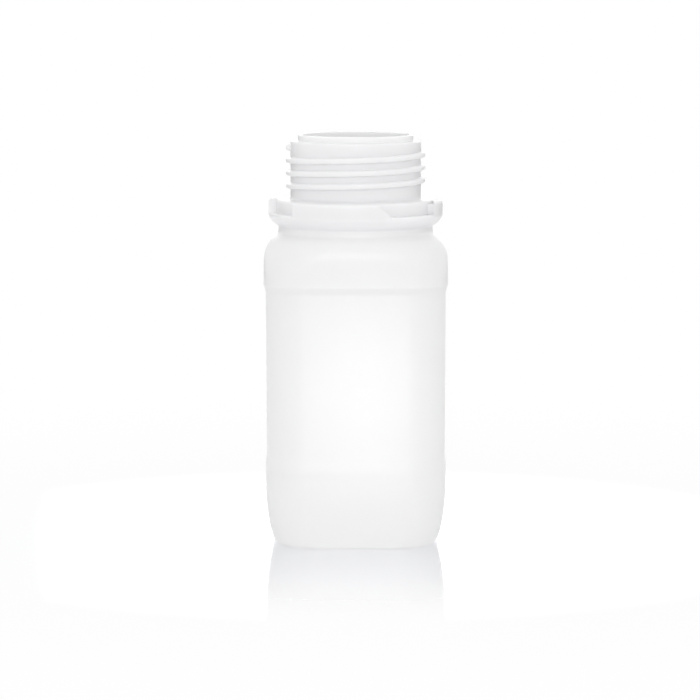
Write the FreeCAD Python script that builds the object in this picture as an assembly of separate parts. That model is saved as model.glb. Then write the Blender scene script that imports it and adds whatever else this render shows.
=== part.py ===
import FreeCAD, Part
import math
import os

# Square wide-mouth bottle, blown in one piece from natural polyethylene.
# Millimetres. +Z is up, the bottle stands on Z = 0 with its axis on the Z axis,
# and the front face looks towards -Y. The mould opens along Y.

# Overall size: height of the lip, and half the width across the widest flats
rim_height = 128.0
body_half_width = 28.75

# Body, from the surface that the bottle stands on up to the label panel
heel_height = 16.8
bead_height = 25.1
bead_lower_slope = 1.1
bead_upper_slope = 2.5

# Body, from the top of the shoulder down to the label panel
side_spring_drop = 7.6
corner_spring_drop = 15.0
band_height = 0.3
band_slope = 1.5

# How far each level lies inside the widest flats
heel_recess = 0.62
bead_recess = 0.44
panel_bottom_recess = 0.93
panel_top_recess = 0.67

# Body corners and wall
corner_radius = 12.8
body_wall = 1.1

# Heel: a slight taper and a round edge, added together, with rounder corners at the foot
heel_taper = 0.75
heel_round = 3.6
foot_corner_radius = 15.0

# Round hollow under the base, and the flat foot left round it
base_hollow_depth = 1.8
foot_width = 2.4

# Thread, one right-handed start
thread_radius = 22.0
thread_depth = 1.4
thread_pitch = 4.0
thread_root_width = 2.4
thread_crest_width = 1.25
thread_crest_round = 0.35
thread_turns = 3.2
thread_top_depth = 4.2
thread_top_angle = 180.0
thread_to_collar = 3.3
thread_sink = 0.6

# Neck and lip
neck_wall = 1.5
lip_step = 2.4
lip_wall = 1.3
lip_height = 2.0
mouth_length = 4.6
lip_edge_radius = 0.35
neck_edge_radius = 0.4
neck_cove_radius = 0.9

# Neck base under the collar
neck_base_step = 3.8
neck_base_height = 2.25
shoulder_cove_radius = 1.4
chamber_edge_radius = 1.2

# Collar with the ratchet that a tamper-evident ring turns over
collar_core_step = 0.6
collar_edge_radius = 0.9
ratchet_depth = 2.5
ratchet_height = 4.25
ledge_rim_height = 0.9
underside_bulge = 0.4
ratchet_ramp_angle = 9.7

# Ratchet blocks in front: where each starts at its steep wall and how far it runs
# at full height, in degrees from the front towards +X. Two more lie opposite them.
long_block_start = -46.0
long_block_span = 60.0
short_block_start = 62.0
short_block_span = 23.3

# Modelling allowances
overlap = 1.5
reach = 6.0
least_flat = 0.06
heel_sections = 6
shoulder_sections = 10
sector_sides = 4

# Radii of the neck, from the thread inwards and outwards
neck_radius = thread_radius - thread_depth
throat_radius = neck_radius - neck_wall
lip_radius = neck_radius - lip_step
mouth_radius = lip_radius - lip_wall
neck_base_radius = neck_radius + neck_base_step
chamber_radius = neck_base_radius - neck_wall
collar_core_radius = neck_base_radius + collar_core_step
collar_radius = collar_core_radius + ratchet_depth

# Heights, from the lip down to the label panel
thread_length = thread_turns * thread_pitch
neck_top_height = rim_height - lip_height
collar_top_height = rim_height - thread_top_depth - thread_length - thread_to_collar
ledge_height = collar_top_height - ratchet_height
cone_top_height = ledge_height - ledge_rim_height
cone_bottom_height = cone_top_height - (collar_radius - neck_base_radius)
shoulder_height = cone_bottom_height - neck_base_height
side_spring_height = shoulder_height - side_spring_drop
corner_spring_height = shoulder_height - corner_spring_drop
panel_top_height = corner_spring_height - band_height - band_slope
panel_bottom_height = bead_height + bead_upper_slope

# Half widths of the body, level by level
panel_corner_radius = corner_radius - panel_top_recess
heel_half_width = body_half_width - heel_recess
bead_half_width = body_half_width - bead_recess
panel_bottom_half_width = body_half_width - panel_bottom_recess
panel_top_half_width = body_half_width - panel_top_recess
foot_half_width = heel_half_width - heel_taper - heel_round

AXIS = FreeCAD.Vector(0, 0, 1)
ORIGIN = FreeCAD.Vector(0, 0, 0)


def rounded_square(half_width, radius, height):
    """Level outline of four sides and four round corners, in a fixed order."""
    flat = half_width - radius
    edges = []
    for turn in range(4):
        angle = math.radians(90 * turn)
        ahead = FreeCAD.Vector(math.cos(angle), math.sin(angle), 0)
        aside = FreeCAD.Vector(-math.sin(angle), math.cos(angle), 0)
        level = AXIS * height
        side_start = level + ahead * half_width - aside * flat
        side_end = level + ahead * half_width + aside * flat
        centre = level + (ahead + aside) * flat
        arc_middle = centre + (ahead + aside) * (radius / math.sqrt(2))
        arc_end = level + aside * half_width + ahead * flat
        edges.append(Part.LineSegment(side_start, side_end).toShape())
        edges.append(Part.Arc(side_end, arc_middle, arc_end).toShape())
    return Part.Wire(edges)


def turned(points):
    """Solid turned about the Z axis from (radius, height) points; a point with a third
    value is the middle of an arc from the point before it to the point after it."""
    edges = []
    count = len(points)
    spot = [FreeCAD.Vector(point[0], 0, point[1]) for point in points]
    index = 0
    while index < count:
        following = (index + 1) % count
        if len(points[following]) == 3:
            end = (index + 2) % count
            edges.append(Part.Arc(spot[index], spot[following], spot[end]).toShape())
            index += 2
        else:
            edges.append(Part.LineSegment(spot[index], spot[following]).toShape())
            index += 1
    return Part.Face(Part.Wire(edges)).revolve(ORIGIN, AXIS, 360)


def corner_arc(radius, height, size):
    """The three points of a round top outer edge of a turned solid, from its side up."""
    middle = size * (1 - math.sqrt(0.5))
    return [
        (radius, height - size),
        (radius - middle, height - middle, "arc"),
        (radius - size, height),
    ]


def heel(inset):
    """Round heel from the foot up to the waist."""
    sections = []
    for step in range(heel_sections + 1):
        angle = math.radians(90 * step / heel_sections)
        depth = math.cos(angle)
        half_width = heel_half_width - heel_taper * depth - heel_round * (1 - math.sin(angle))
        radius = corner_radius + (foot_corner_radius - corner_radius) * (1 - math.sin(angle))
        height = heel_height - (heel_height - inset) * depth
        sections.append(rounded_square(half_width - inset, radius - inset, height))
    return Part.makeLoft(sections, True, False)


def straight_body(inset):
    """Waist, bead, label panel and the band under the shoulder."""
    levels = [
        (heel_height, heel_half_width, corner_radius),
        (bead_height - bead_lower_slope, heel_half_width, corner_radius),
        (bead_height, bead_half_width, corner_radius),
        (panel_bottom_height, panel_bottom_half_width, panel_corner_radius),
        (panel_top_height, panel_top_half_width, panel_corner_radius),
        (panel_top_height + band_slope, body_half_width, corner_radius),
        (corner_spring_height, body_half_width, corner_radius),
    ]
    sections = []
    for height, half_width, radius in levels:
        sections.append(rounded_square(half_width - inset, radius - inset, height))
    return Part.makeLoft(sections, True, True)


def quarter_ellipse(height, spring, top):
    """Share of the full width that an elliptical dome still has at a height."""
    rise = min(max((height - spring) / (top - spring), 0), 1)
    return math.sqrt(1 - rise * rise)


def shoulder(inset):
    """Dome from the square body to the round neck. It springs lower at the corners than
    at the middle of each side, so that every flat ends in an arch."""
    top = shoulder_height - inset
    top_radius = neck_base_radius - overlap - inset
    diagonal = math.sqrt(2)
    corner_reach = (body_half_width - corner_radius) * diagonal + corner_radius - inset
    sections = []
    for step in range(shoulder_sections + 1):
        angle = math.radians(90 * step / shoulder_sections)
        height = corner_spring_height + (top - corner_spring_height) * math.sin(angle)
        side_share = quarter_ellipse(height, side_spring_height, top)
        half_width = top_radius + (body_half_width - inset - top_radius) * side_share
        reach_here = top_radius + (corner_reach - top_radius) * math.cos(angle)
        radius = (half_width * diagonal - reach_here) / (diagonal - 1)
        sections.append(rounded_square(half_width, min(radius, half_width - least_flat), height))
    return Part.makeLoft(sections, True, False)


def square_body(inset):
    """Whole square body, drawn in by the inset for the hollow inside."""
    return heel(inset).fuse([straight_body(inset), shoulder(inset)])


def collar_ring():
    """Neck base, bulging cone under the collar and the ledge below the ratchet."""
    outwards = underside_bulge * math.sqrt(0.5)
    bulge_radius = (neck_base_radius + collar_radius) / 2 + outwards
    bulge_height = (cone_bottom_height + cone_top_height) / 2 - outwards
    return turned(
        [
            (throat_radius, shoulder_height - overlap),
            (neck_base_radius, shoulder_height - overlap),
            (neck_base_radius, cone_bottom_height),
            (bulge_radius, bulge_height, "arc"),
            (collar_radius, cone_top_height),
            (collar_radius, ledge_height),
            (throat_radius, ledge_height),
        ]
    )


def collar_core():
    """Round wall behind the ratchet, up to the top of the collar."""
    outline = [(throat_radius, ledge_height - overlap), (collar_core_radius, ledge_height - overlap)]
    outline += corner_arc(collar_core_radius, collar_top_height, collar_edge_radius)
    cove_middle = neck_cove_radius * (1 - math.sqrt(0.5))
    outline += [
        (neck_radius + neck_cove_radius, collar_top_height),
        (neck_radius + cove_middle, collar_top_height + cove_middle, "arc"),
        (neck_radius, collar_top_height + neck_cove_radius),
        (throat_radius, collar_top_height + neck_cove_radius),
    ]
    return turned(outline)


def ratchet_block(start, span):
    """One block of the ratchet: steep wall at its start, ramp at its end."""
    inner = neck_radius + neck_cove_radius
    root = ledge_height - ledge_rim_height / 2
    outline = [(inner, root), (collar_radius, root)]
    outline += corner_arc(collar_radius, collar_top_height, collar_edge_radius)
    outline.append((inner, collar_top_height))
    ring = turned(outline)
    size = 2 * (collar_radius + reach)
    wall_x = collar_radius * math.sin(math.radians(start))
    corner = FreeCAD.Vector(wall_x, -size / 2, ledge_height - size / 2)
    block = ring.common(Part.makeBox(size, size, size, corner))
    ramp_end = start + span + ratchet_ramp_angle
    block = block.common(sector(start - ratchet_ramp_angle, ramp_end))
    return block.cut(above_ramp(start + span))


def sector(start, end):
    """Upright wedge between two angles, measured from the front towards +X."""
    size = 2 * collar_radius
    corners = [ORIGIN]
    for side in range(sector_sides + 1):
        angle = math.radians(start + (end - start) * side / sector_sides)
        corners.append(FreeCAD.Vector(size * math.sin(angle), -size * math.cos(angle), 0))
    corners.append(ORIGIN)
    return Part.Face(Part.makePolygon(corners)).extrude(AXIS * rim_height)


def above_ramp(ramp_start):
    """Everything above a ramp that falls from the collar's top to the ledge."""
    run = collar_radius * math.sin(math.radians(ratchet_ramp_angle))
    outline = [
        FreeCAD.Vector(0, 0, collar_top_height),
        FreeCAD.Vector(run, 0, ledge_height),
        FreeCAD.Vector(run + reach, 0, ledge_height),
        FreeCAD.Vector(run + reach, 0, collar_top_height + overlap),
        FreeCAD.Vector(0, 0, collar_top_height + overlap),
        FreeCAD.Vector(0, 0, collar_top_height),
    ]
    outwards = FreeCAD.Vector(0, -collar_radius - reach, 0)
    cutter = Part.Face(Part.makePolygon(outline)).extrude(outwards)
    cutter.rotate(ORIGIN, AXIS, ramp_start)
    return cutter


def ratchet():
    """Two blocks in front and the same two opposite them."""
    blocks = []
    for start, span in [(long_block_start, long_block_span), (short_block_start, short_block_span)]:
        block = ratchet_block(start, span)
        opposite = block.copy()
        opposite.rotate(ORIGIN, AXIS, 180)
        blocks += [block, opposite]
    return blocks


def neck():
    """Neck tube with the narrower lip on top."""
    inner = mouth_radius - overlap
    outline = [(inner, ledge_height), (neck_radius, ledge_height)]
    outline += corner_arc(neck_radius, neck_top_height, neck_edge_radius)
    outline.append((lip_radius, neck_top_height))
    outline += corner_arc(lip_radius, rim_height, lip_edge_radius)
    outline.append((inner, rim_height))
    return turned(outline)


def thread():
    """Helical rib with a round crest, and a round end at its top and its bottom."""
    root = neck_radius - thread_sink
    crest = thread_radius - thread_crest_round
    lower_root = FreeCAD.Vector(root, 0, -thread_root_width / 2)
    lower_crest = FreeCAD.Vector(crest, 0, -thread_crest_width / 2)
    tip = FreeCAD.Vector(thread_radius, 0, 0)
    upper_crest = FreeCAD.Vector(crest, 0, thread_crest_width / 2)
    upper_root = FreeCAD.Vector(root, 0, thread_root_width / 2)
    crest_arc = Part.Arc(lower_crest, tip, upper_crest)
    profile = Part.Wire(
        [
            Part.LineSegment(lower_root, lower_crest).toShape(),
            crest_arc.toShape(),
            Part.LineSegment(upper_crest, upper_root).toShape(),
            Part.LineSegment(upper_root, lower_root).toShape(),
        ]
    )
    path = Part.makeHelix(thread_pitch, thread_length, neck_radius)
    rib = Part.Wire(path).makePipeShell([profile], True, True)
    upper_half = Part.makeBox(
        thread_radius, thread_radius, thread_root_width, FreeCAD.Vector(0, -thread_radius / 2, 0)
    )
    half_face = Part.Face(profile).common(upper_half)
    knob = half_face.revolve(ORIGIN, FreeCAD.Vector(1, 0, 0), 360)
    top_knob = knob.copy()
    top_knob.rotate(ORIGIN, AXIS, 360 * thread_turns)
    top_knob.translate(AXIS * thread_length)
    whole = rib.fuse([knob, top_knob])
    whole.rotate(ORIGIN, AXIS, thread_top_angle - 360 * thread_turns)
    whole.translate(AXIS * (rim_height - thread_top_depth - thread_length))
    return whole


def neck_hollow():
    """Hollow of the neck: the mouth, the wider throat and the space inside the collar."""
    throat_top = rim_height - mouth_length
    outline = [(0, shoulder_height - reach), (chamber_radius, shoulder_height - reach)]
    outline += corner_arc(chamber_radius, collar_top_height - neck_wall, chamber_edge_radius)
    outline += [
        (throat_radius, collar_top_height - neck_wall),
        (throat_radius, throat_top - (throat_radius - mouth_radius)),
        (mouth_radius, throat_top),
        (mouth_radius, rim_height + overlap),
        (0, rim_height + overlap),
    ]
    return turned(outline)


def base_dome(inset):
    """Ball whose top is the shallow round hollow under the base."""
    rim = foot_half_width - foot_width
    ball_radius = (rim * rim + base_hollow_depth * base_hollow_depth) / (2 * base_hollow_depth)
    return Part.makeSphere(ball_radius + inset, AXIS * (base_hollow_depth - ball_radius))


def shoulder_cove(blank):
    """Round the inner corner where the neck base stands on the shoulder."""
    corner = []
    for edge in blank.Edges:
        box = edge.BoundBox
        on_neck = max(abs(box.XMin), abs(box.XMax), abs(box.YMin), abs(box.YMax)) < neck_base_radius + least_flat
        if on_neck and box.ZMin > side_spring_height and box.ZMax < shoulder_height + least_flat:
            corner.append(edge)
    return blank.makeFillet(shoulder_cove_radius, corner)


def bottle():
    """The one-piece bottle: outside less inside."""
    outside = shoulder_cove(square_body(0).fuse(collar_ring()))
    outside = outside.fuse([collar_core(), neck()] + ratchet() + [thread()])
    outside = outside.cut(base_dome(0))
    inside = square_body(body_wall).cut(base_dome(body_wall)).fuse(neck_hollow())
    return outside.cut(inside)


os.makedirs("parts", exist_ok=True)
shape = bottle()
solid = shape.Solids[0]
print("solids", len(shape.Solids), "valid", shape.isValid(), "faces", len(shape.Faces))
print("volume cm3", round(shape.Volume / 1000, 2))
solid.exportStep("parts/bottle.step")
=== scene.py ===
import math

import bpy
from mathutils import Matrix, Vector


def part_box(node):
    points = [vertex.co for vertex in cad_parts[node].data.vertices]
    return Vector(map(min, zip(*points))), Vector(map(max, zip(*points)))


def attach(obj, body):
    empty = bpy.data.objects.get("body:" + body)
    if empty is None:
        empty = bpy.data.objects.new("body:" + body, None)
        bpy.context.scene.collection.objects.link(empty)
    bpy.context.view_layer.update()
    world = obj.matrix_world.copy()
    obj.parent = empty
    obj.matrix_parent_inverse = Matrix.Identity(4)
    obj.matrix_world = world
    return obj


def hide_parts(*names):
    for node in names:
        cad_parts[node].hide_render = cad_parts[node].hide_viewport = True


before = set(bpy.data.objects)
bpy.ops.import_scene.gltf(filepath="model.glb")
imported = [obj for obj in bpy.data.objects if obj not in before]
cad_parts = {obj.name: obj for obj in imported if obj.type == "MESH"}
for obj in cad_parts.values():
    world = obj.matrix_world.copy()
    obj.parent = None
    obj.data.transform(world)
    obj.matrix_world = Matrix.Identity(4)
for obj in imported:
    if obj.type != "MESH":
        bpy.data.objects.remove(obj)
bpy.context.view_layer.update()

bl_info = {
    "name": "Square wide-mouth bottle",
    "version": (1, 0, 0),
    "blender": (4, 5, 0),
    "location": "3D View > Sidebar > Bottle",
    "description": "Models a blown square bottle with a screw neck, its finish and its studio stage",
    "category": "Object",
}

MM = 0.001
NODE = "bottle"
BODY = "root"
SLOT = "natural_polyethylene"
_, CAD_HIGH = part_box(NODE)


def length(name, default, description):
    """A length that a user may change; its default is given in millimetres."""
    return bpy.props.FloatProperty(
        name=name, description=description, default=default * MM, precision=5, unit="LENGTH"
    )


def turn(name, default, description):
    """An angle that a user may change; its default is given in degrees."""
    return bpy.props.FloatProperty(
        name=name, description=description, default=math.radians(default), unit="ROTATION"
    )


def plain(name, default, description):
    """A plain number that a user may change."""
    return bpy.props.FloatProperty(name=name, description=description, default=default)


def colour(name, default, description):
    """A colour that a user may change."""
    return bpy.props.FloatVectorProperty(
        name=name, description=description, default=default, size=3, subtype="COLOR", min=0.0, max=1.0
    )


class BodySizes(bpy.types.PropertyGroup):
    """The square body, from the foot to the shoulder"""

    half_width: length("Half width", CAD_HIGH.x / MM, "Half the width across the widest flats")
    corner_radius: length("Corner radius", 12.8, "Radius of the upright corners")
    wall: length("Wall", 1.1, "Wall thickness of the body")
    heel_height: length("Heel height", 16.8, "Height at which the round heel ends")
    heel_taper: length("Heel taper", 0.75, "How far the heel leans in")
    heel_round: length("Heel round", 2.9, "How far the heel's round edge runs in under the bottle")
    foot_corner_radius: length("Foot corner radius", 15.0, "Radius of the corners where the bottle stands")
    foot_width: length("Foot width", 2.4, "Width of the flat foot at the middle of each side")
    base_hollow: length("Base hollow", 1.8, "Depth of the round hollow under the base")
    heel_recess: length("Heel recess", 0.62, "How far the waist lies inside the widest flats")
    bead_recess: length("Bead recess", 0.44, "How far the bead lies inside the widest flats")
    panel_bottom_recess: length("Panel bottom recess", 0.93, "How far the label panel's bottom lies inside")
    panel_top_recess: length("Panel top recess", 0.67, "How far the label panel's top lies inside")
    bead_height: length("Bead height", 25.1, "Height of the bead under the label panel")
    bead_lower_slope: length("Bead lower slope", 3.0, "Height of the slope below the bead")
    bead_upper_slope: length("Bead upper slope", 3.6, "Height of the slope above the bead")
    panel_top: length("Panel top", 80.2, "Height of the label panel's top edge")
    band_slope: length("Band slope", 1.7, "Height of the slope up to the band under the shoulder")
    corner_spring: length("Corner spring", 82.2, "Height at which the shoulder springs from the corners")
    side_spring: length("Side spring", 89.6, "Height at which the shoulder springs from the sides")
    shoulder_top: length("Shoulder top", 97.2, "Height of the top of the shoulder")
    shoulder_drop: length("Shoulder drop", 0.1, "How far the shoulder's end lies below its top")
    foot_round: length("Foot round", 0.6, "Rounding of the foot's inner edge")
    bead_round: length("Bead round", 1.2, "Rounding of the bead and of the waist under it")
    panel_round: length("Panel round", 1.6, "Rounding of the label panel's bottom edge")
    band_round: length("Band round", 0.9, "Rounding of the slope up to the band")


class NeckSizes(bpy.types.PropertyGroup):
    """The round neck, from the shoulder to the lip"""

    rim_height: length("Rim height", CAD_HIGH.z / MM, "Height of the lip above the floor")
    neck_radius: length("Neck radius", 20.6, "Radius of the neck between the thread's turns")
    wall: length("Wall", 1.5, "Wall thickness of the neck")
    base_radius: length("Neck base radius", 24.4, "Radius of the neck base under the collar")
    lip_radius: length("Lip radius", 18.2, "Outer radius of the lip")
    lip_height: length("Lip height", 2.0, "Height of the lip above the neck")
    mouth_radius: length("Mouth radius", 16.9, "Radius of the mouth")
    mouth_length: length("Mouth length", 4.6, "Depth of the narrow part of the mouth")
    underside_bottom: length("Underside bottom", 99.45, "Height at which the collar's underside starts")
    underside_top: length("Underside top", 102.55, "Height at which the collar's underside ends")
    underside_bulge: length("Underside bulge", 0.4, "How far the collar's underside bulges")
    ledge_height: length("Ledge height", 103.45, "Height of the ledge below the ratchet")
    core_radius: length("Core radius", 25.0, "Radius of the round wall behind the ratchet")
    collar_radius: length("Collar radius", 27.5, "Radius of the ledge and the ratchet")
    collar_top: length("Collar top", 107.7, "Height of the top of the collar")
    dome_margin: length("Dome margin", 0.9, "How far outside the neck base the shoulder's dome ends")
    base_round: length("Neck base round", 1.2, "Rounding between the shoulder and the neck base")
    underside_round: length("Underside round", 0.5, "Rounding where the collar's underside starts")
    collar_edge: length("Collar edge", 0.45, "Rounding of the collar's lower edge")
    ledge_edge: length("Ledge edge", 0.25, "Rounding of the ledge's outer edge")
    core_foot: length("Core foot", 0.3, "Rounding at the foot of the wall behind the ratchet")
    collar_round: length("Collar round", 0.9, "Rounding of the collar's top, outside and at the neck")
    neck_edge: length("Neck edge", 0.4, "Rounding of the neck's top edge")
    lip_edge: length("Lip edge", 0.35, "Rounding of the lip's outer edge")
    mouth_edge: length("Mouth edge", 0.3, "Rounding of the lip's inner edge and at its foot")
    mouth_end: length("Mouth end", 0.5, "Rounding where the mouth widens")
    throat_round: length("Throat round", 0.6, "Rounding at both ends of the throat")
    chamber_round: length("Chamber round", 1.2, "Rounding of the chamber inside the collar")


class ThreadSizes(bpy.types.PropertyGroup):
    """The right-handed screw thread"""

    radius: length("Crest radius", 22.0, "Radius of the thread's crest")
    pitch: length("Pitch", 4.0, "Rise of the thread in one turn")
    root_width: length("Root width", 2.4, "Width of the thread where it leaves the neck")
    crest_width: length("Crest width", 1.25, "Width of the thread's crest")
    crest_round: length("Crest round", 0.3, "Radius of the thread's edges")
    turns: bpy.props.FloatProperty(name="Turns", description="Number of turns", default=3.2, min=1.0)
    top_depth: length("Top depth", 4.2, "Depth of the thread's top end below the lip")
    top_angle: turn("Top angle", 180.0, "Where the thread's top end lies, from the right-hand side")
    sink: length("Sink", 0.5, "How far the thread reaches into the neck's wall")


class RatchetSizes(bpy.types.PropertyGroup):
    """The blocks on the collar that stop a tamper-evident ring"""

    long_start: turn("Long block start", -46.0, "Steep wall of the long block, from the front to the right")
    long_span: turn("Long block span", 60.0, "Run of the long block at full height")
    short_start: turn("Short block start", 62.0, "Steep wall of the short block, from the front to the right")
    short_span: turn("Short block span", 23.3, "Run of the short block at full height")
    ramp: turn("Ramp", 9.7, "Run of the ramp at the end of each block")
    edge_radius: length("Edge radius", 0.9, "Radius of the collar's top edge")
    sink: length("Sink", 1.0, "How far each block reaches into the wall behind it")
    under_ledge: length("Under ledge", 0.4, "How far each block reaches into the ledge")
    below_top: length("Below top", 0.03, "How far each block stays below the collar's top")
    least_gap: length("Least gap", 1.9, "Width at which the notch before a steep wall ends")
    fill_in_wall: length("Fill in wall", 0.5, "How far the notch's end reaches back into the round wall")
    fill_in_block: length("Fill in block", 0.3, "How far the notch's end reaches into the block")


class Finish(bpy.types.PropertyGroup):
    """Colours and skin of the plastic, and the shade painted on its neck"""

    milk: colour("Milk", (0.954, 0.949, 0.968), "Colour of the plastic")
    haze: colour("Haze", (0.935, 0.929, 0.951), "Colour of its cloudier patches")
    # Painted shade: a darker colour painted on the neck's outside, standing in for the shade that falls on
    # the neck.
    neck: colour("Neck", (0.882, 0.879, 0.889), "Colour of the thicker neck")
    light_path: length("Light path", 1.6, "How far light travels inside the plastic")
    roughness: plain("Roughness", 0.36, "How satin the skin is")
    refraction: plain("Refraction", 1.54, "Index of refraction of polyethylene")
    cloud_scale: plain("Cloud scale", 45.0, "Fineness of the cloudier patches")
    grain_scale: plain("Grain scale", 2200.0, "Fineness of the skin's grain")
    grain_strength: plain("Grain strength", 0.15, "Strength of the skin's grain")
    grain_depth: length("Grain depth", 0.02, "Depth of the skin's grain")
    # Heights over which the painted neck shade fades in, and distances from the axis within which lip and
    # mouth stay without it.
    neck_shade_start: length("Neck tint start", 94.0, "Height at which the neck's colour starts to show")
    neck_shade_full: length("Neck tint full", 104.0, "Height from which the neck's colour shows fully")
    lip_shade_end: length("Lip tint end", 18.0, "Distance from the axis up to which lip and mouth stay milky")
    lip_shade_full: length("Lip tint full", 18.8, "Distance from which the neck's colour shows fully")


class StageSizes(bpy.types.PropertyGroup):
    """Floor, light and camera"""

    floor_half: length("Floor half width", 3000.0, "Half the width of the floor")
    mirror_start: length("Mirror start", 30.0, "Distance at which the reflection starts to fade")
    mirror_end: length("Mirror end", 150.0, "Distance at which the reflection has faded")
    shadow_end: length("Shadow end", 400.0, "Distance at which the floor's shadow has faded")
    surround: plain("Surround", 0.832, "Strength of the room's light on the bottle")
    matt_share: plain("Matt share", 0.12, "Share of the floor under the bottle that takes its shadow")
    mirror_share: plain("Mirror share", 0.95, "Share of the floor under the bottle that mirrors it")
    mirror_roughness: plain("Mirror roughness", 0.08, "How blurred the reflection is")
    mirror_tint: colour("Mirror tint", (0.975, 0.98, 1.0), "Colour of the reflection")
    floor_grey: colour("Floor grey", (0.9, 0.9, 0.9), "Colour of the floor where it takes the shadow")
    panel_glow: plain("Panel glow", 0.03, "Strength of the dark panels beside the bottle")
    camera_left: length("Camera left", 1.82, "How far the camera stands left of the axis")
    camera_distance: length("Camera distance", 1108.0, "How far the camera stands in front of the axis")
    camera_height: length("Camera height", 185.3, "Height of the camera above the floor")
    camera_pitch: turn("Camera pitch", -6.47, "How far the camera looks up")
    focal_length: plain("Focal length", 180.9, "Focal length in millimetres on a 36 mm sensor")


GROUPS = {
    "bottle_body": BodySizes,
    "bottle_neck": NeckSizes,
    "bottle_thread": ThreadSizes,
    "bottle_ratchet": RatchetSizes,
    "bottle_finish": Finish,
    "bottle_stage": StageSizes,
}

# Each lamp: name, place, aim, width and height in metres, power in watts, spread in degrees.
LAMPS = (
    ("front_softbox", (-0.05, -0.95, 0.5), (0, 0, 0.06), (0.35, 0.35), 1.55, 180),
    ("mouth_spot", (0, 0, 0.5), (0, 0, 0), (0.02, 0.02), 0.002, 3),
    ("back_softbox", (0.03, 0.8, 0.10), (0, 0, 0.06), (0.4, 0.4), 1.0, 180),
    ("front_strip", (0.003, -0.28, 0.03), (0.003, 0, 0.05), (0.03, 0.06), 0.0015, 22),
)
# The panels beside the bottle: how far aside, behind and up, then height and depth, in metres.
PANEL_ASIDE, PANEL_BEHIND, PANEL_UP = 0.16, 0.32, 0.185
PANEL_SIZE = (0.24, 0.6, 1)

# How near and how far the camera sees, in metres, and its sensor's width in millimetres.
CAMERA_RANGE = (0.05, 20)
SENSOR_WIDTH = 36

SHELL = "bottle_shell"
# Segments of each upright corner, of the thread's edges and of the ratchet's top edge.
CORNER_SEGMENTS = 32
THREAD_EDGE_SEGMENTS = 4
BLOCK_EDGE_SEGMENTS = 6
# Edges that meet at less than this angle are shaded smoothly.
SMOOTH_ANGLE = math.radians(32)
# The straight stretch that is left between round corners, so that they never meet.
LEAST_FLAT = 0.02 * MM
# Distances within which points are welded, lie on a cut or count as the same place.
WELD = 0.035 * MM
CUT = 0.001 * MM
NEAR = 0.01 * MM
# A rounding takes at most this share of the stretch on either side of its corner.
MOST_ROUNDING = 0.48
# Layers of detail in the plastic's cloudier patches and in its grain.
CLOUD_DETAIL, GRAIN_DETAIL = 3.0, 2.0
# The inputs and the output of a colour Mix node.
FIRST_COLOUR, SECOND_COLOUR, MIXED_COLOUR = 6, 7, 2


def new_object(name):
    """An empty mesh object in edit mode, with nothing else selected."""
    if bpy.context.object and bpy.context.object.mode != "OBJECT":
        bpy.ops.object.mode_set(mode="OBJECT")
    bpy.ops.object.select_all(action="DESELECT")
    bpy.ops.mesh.primitive_plane_add(size=1)
    obj = bpy.context.object
    obj.name = name
    obj.data.name = name
    bpy.ops.object.mode_set(mode="EDIT")
    bpy.ops.mesh.select_mode(type="VERT")
    bpy.ops.mesh.select_all(action="SELECT")
    bpy.ops.mesh.delete(type="VERT")
    return obj


def pick(obj, test):
    """Selects, in edit mode, the vertices whose place passes the test."""
    bpy.ops.mesh.select_mode(type="VERT")
    bpy.ops.mesh.select_all(action="DESELECT")
    bpy.ops.object.mode_set(mode="OBJECT")
    for vertex in obj.data.vertices:
        vertex.select = test(vertex.co)
    bpy.ops.object.mode_set(mode="EDIT")


def slice_off(place, normal):
    """Cuts away, in edit mode, all that lies on the normal's side of a plane and closes the cut."""
    bpy.ops.mesh.select_all(action="SELECT")
    bpy.ops.mesh.bisect(plane_co=place, plane_no=normal, clear_outer=True, threshold=CUT)
    bpy.ops.mesh.edge_face_add()


def join_to_bottle(piece):
    """Makes a piece one with the bottle's wall, and removes the piece's own object."""
    shell = bpy.data.objects[SHELL]
    bpy.ops.object.mode_set(mode="OBJECT")
    bpy.ops.object.select_all(action="DESELECT")
    bpy.context.view_layer.objects.active = shell
    shell.select_set(True)
    union = shell.modifiers.new("union", "BOOLEAN")
    union.operation = "UNION"
    union.solver = "EXACT"
    union.object = piece
    bpy.ops.object.modifier_apply(modifier=union.name)
    bpy.data.objects.remove(piece)


def outline(half_width, radius, height):
    """Adds a level outline of four sides and four round corners."""
    bpy.ops.mesh.primitive_plane_add(size=2 * half_width, location=(0, 0, height))
    bpy.ops.mesh.bevel(
        affect="VERTICES",
        offset=min(radius, half_width - LEAST_FLAT),
        segments=CORNER_SEGMENTS,
        clamp_overlap=False,
    )


def loft(obj, levels):
    """Bridges outlines, from a closed one to a closed one, into one closed skin. They are
    bridged evenly spaced and then set at their heights, since outlines that lie level
    with each other would be bridged with a twist."""
    bpy.ops.mesh.select_mode(type="EDGE")
    last = len(levels) - 1
    for index, (half_width, radius, _) in enumerate(levels):
        outline(half_width, radius, index * MM)
        if index == 0:
            continue
        if index < last:
            bpy.ops.mesh.delete(type="ONLY_FACE")
        bpy.ops.mesh.select_non_manifold(
            extend=False,
            use_wire=True,
            use_boundary=True,
            use_multi_face=False,
            use_non_contiguous=False,
            use_verts=False,
        )
        bpy.ops.mesh.bridge_edge_loops()
    bpy.ops.object.mode_set(mode="OBJECT")
    for vertex in obj.data.vertices:
        vertex.co.z = levels[round(vertex.co.z / MM)][2]
    bpy.ops.object.mode_set(mode="EDIT")
    bpy.ops.mesh.select_all(action="SELECT")
    bpy.ops.mesh.remove_doubles(threshold=WELD)
    bpy.ops.mesh.normals_make_consistent(inside=False)


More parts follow.
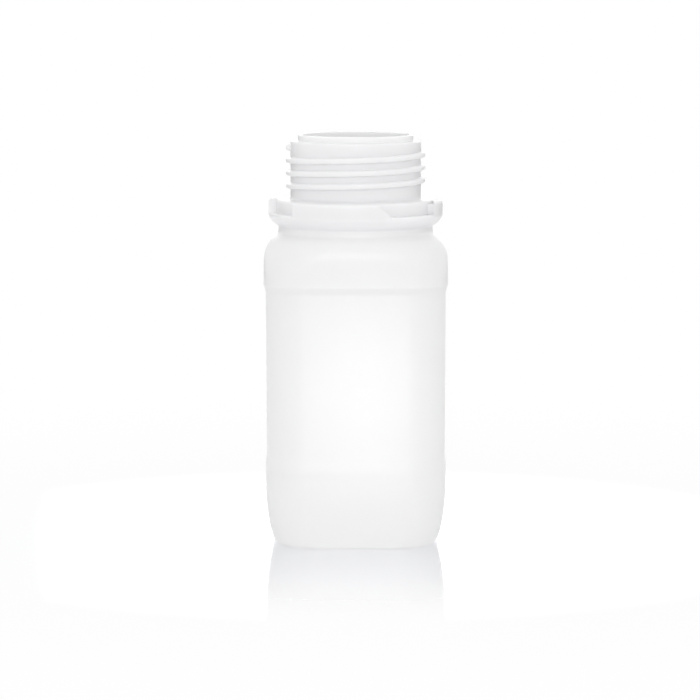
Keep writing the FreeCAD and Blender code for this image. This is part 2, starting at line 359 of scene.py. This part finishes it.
def softened(corners, steps=5):
    """Levels along a path of (half width, radius, height, blend) corners. Each corner
    with a blend is rounded over that distance."""
    points = [Vector(corner[:3]) for corner in corners]
    levels = []
    for index, corner in enumerate(corners):
        blend = corner[3]
        if not blend:
            levels.append(tuple(points[index]))
            continue
        before = points[index - 1] - points[index]
        after = points[index + 1] - points[index]
        start = before * min(blend / plain_length(before), MOST_ROUNDING)
        end = after * min(blend / plain_length(after), MOST_ROUNDING)
        for step in range(steps + 1):
            share = step / steps
            levels.append(tuple(points[index] + start * (1 - share) ** 2 + end * share**2))
    return levels


def plain_length(move):
    """Length of a move across and up, whatever the corner radius does."""
    return math.hypot(move.x, move.z)


def round_level(radius, height, blend=0.0):
    """A level of the neck, which is round."""
    return (radius, radius, height, blend)


def heel_levels(body, inset, steps=14):
    """Round heel from the foot up to the waist."""
    waist = body.half_width - body.heel_recess
    levels = []
    for step in range(steps + 1):
        angle = math.radians(90 * step / steps)
        depth = math.cos(angle)
        rest = 1 - math.sin(angle)
        half_width = waist - body.heel_taper * depth - body.heel_round * rest
        radius = body.corner_radius + (body.foot_corner_radius - body.corner_radius) * rest
        height = body.heel_height - (body.heel_height - inset) * depth
        levels.append((half_width - inset, radius - inset, height, 0))
    return levels


def side_levels(body, inset):
    """Waist, bead, label panel and the band under the shoulder."""
    waist = body.half_width - body.heel_recess
    panel_radius = body.corner_radius - body.panel_top_recess
    panel_bottom = body.bead_height + body.bead_upper_slope
    corners = [
        (waist, body.corner_radius, body.bead_height - body.bead_lower_slope, body.bead_round),
        (body.half_width - body.bead_recess, body.corner_radius, body.bead_height, body.bead_round),
        (body.half_width - body.panel_bottom_recess, panel_radius, panel_bottom, body.panel_round),
        (body.half_width - body.panel_top_recess, panel_radius, body.panel_top, body.band_round),
        (body.half_width, body.corner_radius, body.panel_top + body.band_slope, body.band_round),
    ]
    return [(half - inset, radius - inset, height, blend) for half, radius, height, blend in corners]


def shoulder_levels(body, neck, inset, meets, steps=22):
    """Dome from the square body to the round neck, as far as it stays outside a radius.
    It springs lower at the corners than at the middle of each side."""
    top = body.shoulder_top - inset
    top_radius = neck.base_radius - neck.wall - inset
    diagonal = math.sqrt(2)
    corner_reach = (body.half_width - body.corner_radius) * diagonal + body.corner_radius - inset
    levels = []
    for step in range(steps + 1):
        angle = math.radians(90 * step / steps)
        height = body.corner_spring + (top - body.corner_spring) * math.sin(angle)
        rise = max(0.0, (height - body.side_spring) / (top - body.side_spring))
        spread = math.sqrt(max(0.0, 1 - rise * rise))
        half_width = top_radius + (body.half_width - inset - top_radius) * spread
        reach = top_radius + (corner_reach - top_radius) * math.cos(angle)
        radius = (half_width * diagonal - reach) / (diagonal - 1)
        if half_width > meets:
            levels.append((half_width, radius, height, 0))
    return levels


def base_levels(radius, ball, centre_height, steps=8):
    """Shallow dome from near the middle out to a round rim; it is part of a ball."""
    levels = []
    for step in range(1, steps + 1):
        across = radius * step / steps
        drop = ball - math.sqrt(ball * ball - across * across)
        levels.append(round_level(across, centre_height - drop))
    return levels


def underside_levels(neck, steps=6):
    """Bulging cone from the neck base out to the collar."""
    start = Vector((neck.base_radius, neck.underside_bottom))
    end = Vector((neck.collar_radius, neck.underside_top))
    out = Vector((1, -1)).normalized() * neck.underside_bulge
    levels = []
    for step in range(1, steps):
        share = step / steps
        spot = start.lerp(end, share) + out * (4 * share * (1 - share))
        levels.append(round_level(spot.x, spot.y))
    return levels


def hollow_sizes(body):
    """Radius of the base hollow's rim, and of the ball that the hollow is part of."""
    foot = body.half_width - body.heel_recess - body.heel_taper - body.heel_round
    rim = foot - body.foot_width
    return rim, (rim * rim + body.base_hollow**2) / (2 * body.base_hollow)


def outer_corners(body, neck):
    """The outside, from the middle of the base up to the lip."""
    rim, ball = hollow_sizes(body)
    corners = base_levels(rim, ball, body.base_hollow)
    corners[-1] = round_level(rim, 0.0, body.foot_round)
    corners += heel_levels(body, 0)
    corners += side_levels(body, 0)
    corners += shoulder_levels(body, neck, 0, neck.base_radius + neck.dome_margin)
    lip_foot = neck.rim_height - neck.lip_height
    corners += [
        round_level(neck.base_radius, body.shoulder_top - body.shoulder_drop, neck.base_round),
        round_level(neck.base_radius, neck.underside_bottom, neck.underside_round),
        *underside_levels(neck),
        round_level(neck.collar_radius, neck.underside_top, neck.collar_edge),
        round_level(neck.collar_radius, neck.ledge_height, neck.ledge_edge),
        round_level(neck.core_radius, neck.ledge_height, neck.core_foot),
        round_level(neck.core_radius, neck.collar_top, neck.collar_round),
        round_level(neck.neck_radius, neck.collar_top, neck.collar_round),
        round_level(neck.neck_radius, lip_foot, neck.neck_edge),
        round_level(neck.lip_radius, lip_foot, neck.mouth_edge),
        round_level(neck.lip_radius, neck.rim_height, neck.lip_edge),
    ]
    return corners


def inner_corners(body, neck):
    """The inside, from the lip down to the middle of the base."""
    throat = neck.neck_radius - neck.wall
    chamber = neck.base_radius - neck.wall
    throat_top = neck.rim_height - neck.mouth_length
    chamber_top = neck.collar_top - neck.wall
    corners = [
        round_level(neck.mouth_radius, neck.rim_height, neck.mouth_edge),
        round_level(neck.mouth_radius, throat_top, neck.mouth_end),
        round_level(throat, throat_top - (throat - neck.mouth_radius), neck.throat_round),
        round_level(throat, chamber_top, neck.throat_round),
        round_level(chamber, chamber_top, neck.chamber_round),
        round_level(chamber, body.shoulder_top - body.wall - body.shoulder_drop, neck.chamber_round),
    ]
    inside = heel_levels(body, body.wall)
    inside += side_levels(body, body.wall)
    inside += shoulder_levels(body, neck, body.wall, chamber + neck.dome_margin)
    corners += reversed(inside)
    rim, ball = hollow_sizes(body)
    floor = base_levels(rim, ball + body.wall, body.base_hollow + body.wall)
    floor[-1] = round_level(rim, body.wall, body.foot_round)
    corners += reversed(floor)
    return corners


class BOTTLE_OT_shell(bpy.types.Operator):
    """Blow the bottle's wall: its outside, lip and inside as one closed skin"""

    bl_idname = "bottle.shell"
    bl_label = "Bottle wall"

    def execute(self, context):
        body = context.scene.bottle_body
        neck = context.scene.bottle_neck
        shell = new_object(SHELL)
        corners = outer_corners(body, neck) + inner_corners(body, neck)
        loft(shell, softened(corners))
        bpy.ops.object.mode_set(mode="OBJECT")
        return {"FINISHED"}


class BOTTLE_OT_thread(bpy.types.Operator):
    """Raise the screw thread on the neck"""

    bl_idname = "bottle.thread"
    bl_label = "Screw thread"

    steps_per_turn: bpy.props.IntProperty(
        name="Steps per turn", description="Steps in one turn", default=128
    )
    end_steps: bpy.props.IntProperty(
        name="End steps", description="Steps in each rounded end", default=6
    )

    def execute(self, context):
        sizes = context.scene.bottle_thread
        neck = context.scene.bottle_neck
        root = neck.neck_radius - sizes.sink
        rib = new_object("thread_rib")
        depth = sizes.radius - root
        bpy.ops.mesh.primitive_plane_add(size=1, rotation=(math.radians(90), 0, 0))
        bpy.ops.transform.resize(value=(depth, 1, sizes.root_width))
        bpy.ops.transform.translate(value=(root + depth / 2, 0, 0))
        pick(rib, lambda spot: spot.x > root + depth / 2)
        bpy.ops.transform.resize(
            value=(1, 1, sizes.crest_width / sizes.root_width), center_override=(sizes.radius, 0, 0)
        )
        bpy.ops.mesh.bevel(
            affect="VERTICES", offset=sizes.crest_round, segments=THREAD_EDGE_SEGMENTS
        )
        bpy.ops.mesh.select_all(action="SELECT")
        bpy.ops.mesh.delete(type="ONLY_FACE")
        bpy.ops.object.mode_set(mode="OBJECT")
        screw = rib.modifiers.new("turns", "SCREW")
        screw.angle = math.radians(360) * sizes.turns
        screw.screw_offset = sizes.pitch * sizes.turns
        screw.steps = round(sizes.turns * self.steps_per_turn)
        screw.render_steps = screw.steps
        screw.use_smooth_shade = True
        bpy.ops.object.modifier_apply(modifier=screw.name)
        self.close_ends(rib, sizes, root)
        first_angle = sizes.top_angle - math.radians(360) * sizes.turns
        first_height = neck.rim_height - sizes.top_depth - sizes.pitch * sizes.turns
        rib.data.transform(Matrix.Translation((0, 0, first_height)) @ Matrix.Rotation(first_angle, 4, "Z"))
        join_to_bottle(rib)
        return {"FINISHED"}

    def close_ends(self, rib, sizes, root):
        """Runs each end of the rib straight on while it shrinks to a round tip."""
        bpy.ops.object.mode_set(mode="EDIT")
        bpy.ops.mesh.select_mode(type="EDGE")
        reach = sizes.radius - root
        for forward in (1, -1):
            turns = sizes.turns if forward == 1 else 0.0
            end_height = sizes.pitch * turns
            turned = Matrix.Rotation(math.radians(360) * turns, 4, "Z")
            along = turned @ Vector((0, forward, 0))
            outwards = turned @ Vector((1, 0, 0))
            pick(
                rib,
                lambda spot: abs(spot @ along) < NEAR
                and spot @ outwards > 0
                and abs(spot.z - end_height) < sizes.pitch / 2,
            )
            bpy.ops.mesh.select_mode(type="EDGE")
            centre = outwards * root + Vector((0, 0, end_height))
            size = 1.0
            for step in range(1, self.end_steps + 1):
                share = step / (self.end_steps + 1)
                wanted = math.sqrt(1 - share * share)
                move = along * (reach / (self.end_steps + 1))
                bpy.ops.mesh.extrude_region_move(TRANSFORM_OT_translate={"value": move})
                centre += move
                scale = wanted / size
                bpy.ops.transform.resize(value=(scale, scale, scale), center_override=centre)
                size = wanted
            bpy.ops.mesh.edge_face_add()
        bpy.ops.mesh.select_all(action="SELECT")
        bpy.ops.mesh.normals_make_consistent(inside=False)
        bpy.ops.object.mode_set(mode="OBJECT")


class BOTTLE_OT_ratchet(bpy.types.Operator):
    """Raise the four ratchet blocks on the collar"""

    bl_idname = "bottle.ratchet"
    bl_label = "Collar ratchet"

    def execute(self, context):
        sizes = context.scene.bottle_ratchet
        neck = context.scene.bottle_neck
        self.add_pair(self.block(sizes, neck, sizes.long_start, sizes.long_span))
        self.add_pair(self.block(sizes, neck, sizes.short_start, sizes.short_span))
        self.add_pair(self.notch_end(sizes, neck))
        return {"FINISHED"}

    def add_pair(self, piece):
        """Joins a piece and the same piece on the opposite side to the bottle."""
        opposite = piece.copy()
        opposite.data = piece.data.copy()
        bpy.context.collection.objects.link(opposite)
        opposite.data.transform(Matrix.Rotation(math.radians(180), 4, "Z"))
        for each in (piece, opposite):
            join_to_bottle(each)

    def notch_end(self, sizes, neck):
        """Fills the narrow end of the notch between the short block's steep wall and the round
        wall, with a box that reaches into both."""
        steep = neck.collar_radius * math.sin(sizes.short_start)
        front = -math.sqrt(neck.core_radius**2 - (steep - sizes.least_gap) ** 2)
        back = sizes.fill_in_wall - math.sqrt(neck.core_radius**2 - steep**2)
        bottom = neck.ledge_height - sizes.under_ledge
        top = neck.collar_top - sizes.edge_radius
        inner = steep - 2 * sizes.least_gap
        outer = steep + sizes.fill_in_block
        end = new_object("notch_end")
        bpy.ops.mesh.primitive_cube_add(size=1)
        bpy.ops.transform.resize(value=(outer - inner, back - front, top - bottom))
        bpy.ops.transform.translate(value=((outer + inner) / 2, (front + back) / 2, (top + bottom) / 2))
        bpy.ops.object.mode_set(mode="OBJECT")
        return end

    def block(self, sizes, neck, start, span):
        """One block: a turned stretch of the collar, longer by two ramps on either side than
        its full height, that is cut to a steep wall and a ramp."""
        inner = neck.core_radius - sizes.sink
        bottom = neck.ledge_height - sizes.under_ledge
        top = neck.collar_top - sizes.below_top
        across = neck.collar_radius - inner
        block = new_object("ratchet_block")
        bpy.ops.mesh.primitive_plane_add(size=1, rotation=(math.radians(90), 0, 0))
        bpy.ops.transform.resize(value=(across, 1, top - bottom))
        bpy.ops.transform.translate(value=(inner + across / 2, 0, (top + bottom) / 2))
        pick(block, lambda spot: spot.x > inner + across / 2 and spot.z > (top + bottom) / 2)
        bpy.ops.mesh.bevel(
            affect="VERTICES", offset=sizes.edge_radius, segments=BLOCK_EDGE_SEGMENTS
        )
        first = math.radians(-90) + start - 2 * sizes.ramp
        bpy.ops.object.mode_set(mode="OBJECT")
        block.data.transform(Matrix.Rotation(first, 4, "Z"))
        bpy.ops.object.mode_set(mode="EDIT")
        bpy.ops.mesh.select_all(action="SELECT")
        whole = span + 4 * sizes.ramp
        bpy.ops.mesh.spin(
            steps=round(math.degrees(whole)), angle=whole, center=(0, 0, 0), axis=(0, 0, -1)
        )
        steep = Vector((neck.collar_radius * math.sin(start), 0, 0))
        slice_off(steep, Vector((-1, 0, 0)))
        end = math.radians(-90) + start + span
        radial = Vector((math.cos(end), math.sin(end), 0))
        aside = Vector((-math.sin(end), math.cos(end), 0))
        fall = aside * neck.collar_radius * math.sin(sizes.ramp)
        fall.z = neck.ledge_height - neck.collar_top
        slice_off(Vector((0, 0, neck.collar_top)), radial.cross(fall))
        bpy.ops.mesh.select_all(action="SELECT")
        bpy.ops.mesh.normals_make_consistent(inside=False)
        bpy.ops.object.mode_set(mode="OBJECT")
        return block


def link(tree, source, output, target, socket):
    """Joins one node's output to another node's input."""
    tree.links.new(source.outputs[output], target.inputs[socket])


def polyethylene(finish):
    """Natural polyethylene: milky, translucent, with a fine satin skin."""
    material = bpy.data.materials.new(SLOT)
    material.use_nodes = True
    tree = material.node_tree
    shader = tree.nodes["Principled BSDF"]
    shader.inputs["Roughness"].default_value = finish.roughness
    shader.inputs["IOR"].default_value = finish.refraction
    shader.inputs["Subsurface Weight"].default_value = 1.0
    shader.inputs["Subsurface Radius"].default_value = (1.0, 1.0, 1.0)
    shader.inputs["Subsurface Scale"].default_value = finish.light_path
    place = tree.nodes.new("ShaderNodeTexCoord")
    cloud = tree.nodes.new("ShaderNodeTexNoise")
    cloud.inputs["Scale"].default_value = finish.cloud_scale
    cloud.inputs["Detail"].default_value = CLOUD_DETAIL
    link(tree, place, "Object", cloud, "Vector")
    mix = tree.nodes.new("ShaderNodeMix")
    mix.data_type = "RGBA"
    mix.inputs[FIRST_COLOUR].default_value = (*finish.milk, 1)
    mix.inputs[SECOND_COLOUR].default_value = (*finish.haze, 1)
    link(tree, cloud, "Fac", mix, 0)
    # Painted shade: above the shoulder and outside the lip, the milky colour is darkened to the neck colour,
    # standing in for the shade on the neck.
    height = tree.nodes.new("ShaderNodeSeparateXYZ")
    link(tree, place, "Object", height, "Vector")
    neck_shade_rise = tree.nodes.new("ShaderNodeMapRange")
    neck_shade_rise.interpolation_type = "SMOOTHSTEP"
    neck_shade_rise.inputs["From Min"].default_value = finish.neck_shade_start
    neck_shade_rise.inputs["From Max"].default_value = finish.neck_shade_full
    link(tree, height, "Z", neck_shade_rise, "Value")
    level = tree.nodes.new("ShaderNodeVectorMath")
    level.operation = "MULTIPLY"
    level.inputs[1].default_value = (1, 1, 0)
    link(tree, place, "Object", level, 0)
    across = tree.nodes.new("ShaderNodeVectorMath")
    across.operation = "LENGTH"
    link(tree, level, "Vector", across, 0)
    outside = tree.nodes.new("ShaderNodeMapRange")
    outside.interpolation_type = "SMOOTHSTEP"
    outside.inputs["From Min"].default_value = finish.lip_shade_end
    outside.inputs["From Max"].default_value = finish.lip_shade_full
    link(tree, across, "Value", outside, "Value")
    share = tree.nodes.new("ShaderNodeMath")
    share.operation = "MULTIPLY"
    link(tree, neck_shade_rise, "Result", share, 0)
    link(tree, outside, "Result", share, 1)
    neck_shade_mix = tree.nodes.new("ShaderNodeMix")
    neck_shade_mix.data_type = "RGBA"
    link(tree, mix, MIXED_COLOUR, neck_shade_mix, FIRST_COLOUR)
    neck_shade_mix.inputs[SECOND_COLOUR].default_value = (*finish.neck, 1)
    link(tree, share, "Value", neck_shade_mix, 0)
    link(tree, neck_shade_mix, MIXED_COLOUR, shader, "Base Color")
    grain = tree.nodes.new("ShaderNodeTexNoise")
    grain.inputs["Scale"].default_value = finish.grain_scale
    grain.inputs["Detail"].default_value = GRAIN_DETAIL
    link(tree, place, "Object", grain, "Vector")
    bump = tree.nodes.new("ShaderNodeBump")
    bump.inputs["Strength"].default_value = finish.grain_strength
    bump.inputs["Distance"].default_value = finish.grain_depth
    link(tree, grain, "Fac", bump, "Height")
    link(tree, bump, "Normal", shader, "Normal")
    return material


class BOTTLE_OT_finish(bpy.types.Operator):
    """Smooth the bottle, give it its plastic and set it in the frame"""

    bl_idname = "bottle.finish"
    bl_label = "Finish"

    def execute(self, context):
        shell = bpy.data.objects[SHELL]
        bpy.ops.object.select_all(action="DESELECT")
        context.view_layer.objects.active = shell
        shell.select_set(True)
        bpy.ops.object.shade_smooth_by_angle(angle=SMOOTH_ANGLE)
        shell.data.materials.clear()
        shell.data.materials.append(polyethylene(context.scene.bottle_finish))
        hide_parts(NODE)
        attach(shell, BODY)
        return {"FINISHED"}


def lamp(name, place, aim, size, power, spread):
    """A soft lamp of a width and a height that looks at a point."""
    data = bpy.data.lights.new(name, "AREA")
    data.shape = "RECTANGLE"
    data.size, data.size_y = size
    data.energy = power
    data.spread = math.radians(spread)
    obj = bpy.data.objects.new(name, data)
    bpy.context.collection.objects.link(obj)
    obj.location = place
    obj.rotation_euler = (Vector(aim) - Vector(place)).to_track_quat("-Z", "Y").to_euler()
    obj.visible_camera = False


def side_panel(stage, side):
    """A grey panel beside the bottle, seen only in the bottle's own gloss. It darkens the
    bottle's rims, and lets rays through that rise to it from the floor."""
    place = (side * PANEL_ASIDE, PANEL_BEHIND, PANEL_UP)
    bpy.ops.mesh.primitive_plane_add(size=1, location=place, rotation=(0, math.radians(90), 0))
    panel = bpy.context.object
    panel.name = "side_panel"
    panel.scale = PANEL_SIZE
    panel.visible_camera = False
    panel.visible_diffuse = False
    panel.visible_shadow = False
    material = bpy.data.materials.new("panel_grey")
    material.use_nodes = True
    tree = material.node_tree
    tree.nodes.remove(tree.nodes["Principled BSDF"])
    facing = tree.nodes.new("ShaderNodeNewGeometry")
    height = tree.nodes.new("ShaderNodeSeparateXYZ")
    link(tree, facing, "Incoming", height, "Vector")
    from_above = tree.nodes.new("ShaderNodeMath")
    from_above.operation = "GREATER_THAN"
    from_above.inputs[1].default_value = 0.0
    link(tree, height, "Z", from_above, 0)
    grey = tree.nodes.new("ShaderNodeEmission")
    grey.inputs["Strength"].default_value = stage.panel_glow
    clear = tree.nodes.new("ShaderNodeBsdfTransparent")
    shown = tree.nodes.new("ShaderNodeMixShader")
    link(tree, from_above, "Value", shown, 0)
    link(tree, clear, 0, shown, 1)
    link(tree, grey, 0, shown, 2)
    link(tree, shown, 0, tree.nodes["Material Output"], "Surface")
    panel.data.materials.append(material)


def falling(tree, distance, start, end, value):
    """A value that falls smoothly to nothing between two distances."""
    fall = tree.nodes.new("ShaderNodeMapRange")
    fall.interpolation_type = "SMOOTHSTEP"
    fall.inputs["From Min"].default_value = start
    fall.inputs["From Max"].default_value = end
    fall.inputs["To Min"].default_value = value
    fall.inputs["To Max"].default_value = 0.0
    link(tree, distance, "Value", fall, "Value")
    return fall


def seen_as_white(tree):
    """Is 1 for what the camera, a gloss or a clear material sees."""
    path = tree.nodes.new("ShaderNodeLightPath")
    first = tree.nodes.new("ShaderNodeMath")
    first.operation = "MAXIMUM"
    link(tree, path, "Is Camera Ray", first, 0)
    link(tree, path, "Is Glossy Ray", first, 1)
    second = tree.nodes.new("ShaderNodeMath")
    second.operation = "MAXIMUM"
    link(tree, first, 0, second, 0)
    link(tree, path, "Is Transmission Ray", second, 1)
    return second.outputs[0]


def floor_material(stage):
    """White studio floor that keeps a soft shadow and mirrors the bottle near its foot."""
    material = bpy.data.materials.new("studio_floor")
    material.use_nodes = True
    tree = material.node_tree
    tree.nodes.remove(tree.nodes["Principled BSDF"])
    place = tree.nodes.new("ShaderNodeTexCoord")
    far = tree.nodes.new("ShaderNodeVectorMath")
    far.operation = "LENGTH"
    link(tree, place, "Object", far, 0)
    matt = tree.nodes.new("ShaderNodeBsdfDiffuse")
    matt.inputs["Color"].default_value = (*stage.floor_grey, 1)
    white = tree.nodes.new("ShaderNodeEmission")
    white.inputs["Strength"].default_value = 1.0
    shade = tree.nodes.new("ShaderNodeMixShader")
    matt_share = falling(tree, far, stage.mirror_start, stage.shadow_end, stage.matt_share)
    link(tree, matt_share, "Result", shade, 0)
    link(tree, white, 0, shade, 1)
    link(tree, matt, 0, shade, 2)
    mirror = tree.nodes.new("ShaderNodeBsdfGlossy")
    mirror.inputs["Color"].default_value = (*stage.mirror_tint, 1)
    mirror.inputs["Roughness"].default_value = stage.mirror_roughness
    shown = tree.nodes.new("ShaderNodeMixShader")
    mirror_share = falling(tree, far, stage.mirror_start, stage.mirror_end, stage.mirror_share)
    link(tree, mirror_share, "Result", shown, 0)
    link(tree, shade, 0, shown, 1)
    link(tree, mirror, 0, shown, 2)
    bounce = tree.nodes.new("ShaderNodeEmission")
    bounce.inputs["Strength"].default_value = stage.surround
    both = tree.nodes.new("ShaderNodeMixShader")
    tree.links.new(seen_as_white(tree), both.inputs[0])
    link(tree, bounce, 0, both, 1)
    link(tree, shown, 0, both, 2)
    link(tree, both, 0, tree.nodes["Material Output"], "Surface")
    return material


class BOTTLE_OT_stage(bpy.types.Operator):
    """Set up the white floor, the soft light and the camera"""

    bl_idname = "bottle.stage"
    bl_label = "Studio stage"

    def execute(self, context):
        stage = context.scene.bottle_stage
        context.scene.view_settings.view_transform = "Standard"
        bpy.ops.object.select_all(action="DESELECT")
        bpy.ops.mesh.primitive_plane_add(size=2 * stage.floor_half)
        floor = context.object
        floor.name = "studio_floor"
        floor.data.materials.append(floor_material(stage))
        world = bpy.data.worlds.new("studio")
        context.scene.world = world
        world.use_nodes = True
        tree = world.node_tree
        background = tree.nodes["Background"]
        strength = tree.nodes.new("ShaderNodeMapRange")
        strength.inputs["To Min"].default_value = stage.surround
        strength.inputs["To Max"].default_value = 1.0
        tree.links.new(seen_as_white(tree), strength.inputs["Value"])
        link(tree, strength, "Result", background, "Strength")
        background.inputs["Color"].default_value = (1, 1, 1, 1)
        for each in LAMPS:
            lamp(*each)
        for side in (-1, 1):
            side_panel(stage, side)
        data = bpy.data.cameras.new("camera")
        data.sensor_width = SENSOR_WIDTH
        data.lens = stage.focal_length
        data.clip_start, data.clip_end = CAMERA_RANGE
        camera = bpy.data.objects.new("camera", data)
        context.collection.objects.link(camera)
        camera.location = (-stage.camera_left, -stage.camera_distance, stage.camera_height)
        camera.rotation_euler = (math.radians(90) + stage.camera_pitch, 0, 0)
        context.scene.camera = camera
        return {"FINISHED"}


OPERATORS = [BOTTLE_OT_shell, BOTTLE_OT_thread, BOTTLE_OT_ratchet, BOTTLE_OT_finish, BOTTLE_OT_stage]


class BOTTLE_PT_panel(bpy.types.Panel):
    """Lists the steps that build the bottle, and its sizes"""

    bl_idname = "BOTTLE_PT_panel"
    bl_label = "Square wide-mouth bottle"
    bl_space_type = "VIEW_3D"
    bl_region_type = "UI"
    bl_category = "Bottle"

    def draw(self, context):
        for operator in OPERATORS:
            self.layout.operator(operator.bl_idname)
        for name, group in GROUPS.items():
            box = self.layout.box()
            for field in group.__annotations__:
                box.prop(getattr(context.scene, name), field)


def register():
    for group in GROUPS.values():
        bpy.utils.register_class(group)
    for name, group in GROUPS.items():
        setattr(bpy.types.Scene, name, bpy.props.PointerProperty(type=group))
    for each in [*OPERATORS, BOTTLE_PT_panel]:
        bpy.utils.register_class(each)


def unregister():
    for each in [BOTTLE_PT_panel, *reversed(OPERATORS)]:
        bpy.utils.unregister_class(each)
    for name, group in GROUPS.items():
        delattr(bpy.types.Scene, name)
        bpy.utils.unregister_class(group)


def main():
    register()
    bpy.ops.bottle.shell()
    bpy.ops.bottle.thread()
    bpy.ops.bottle.ratchet()
    bpy.ops.bottle.finish()
    bpy.ops.bottle.stage()


if __name__ == "__main__":
    main()
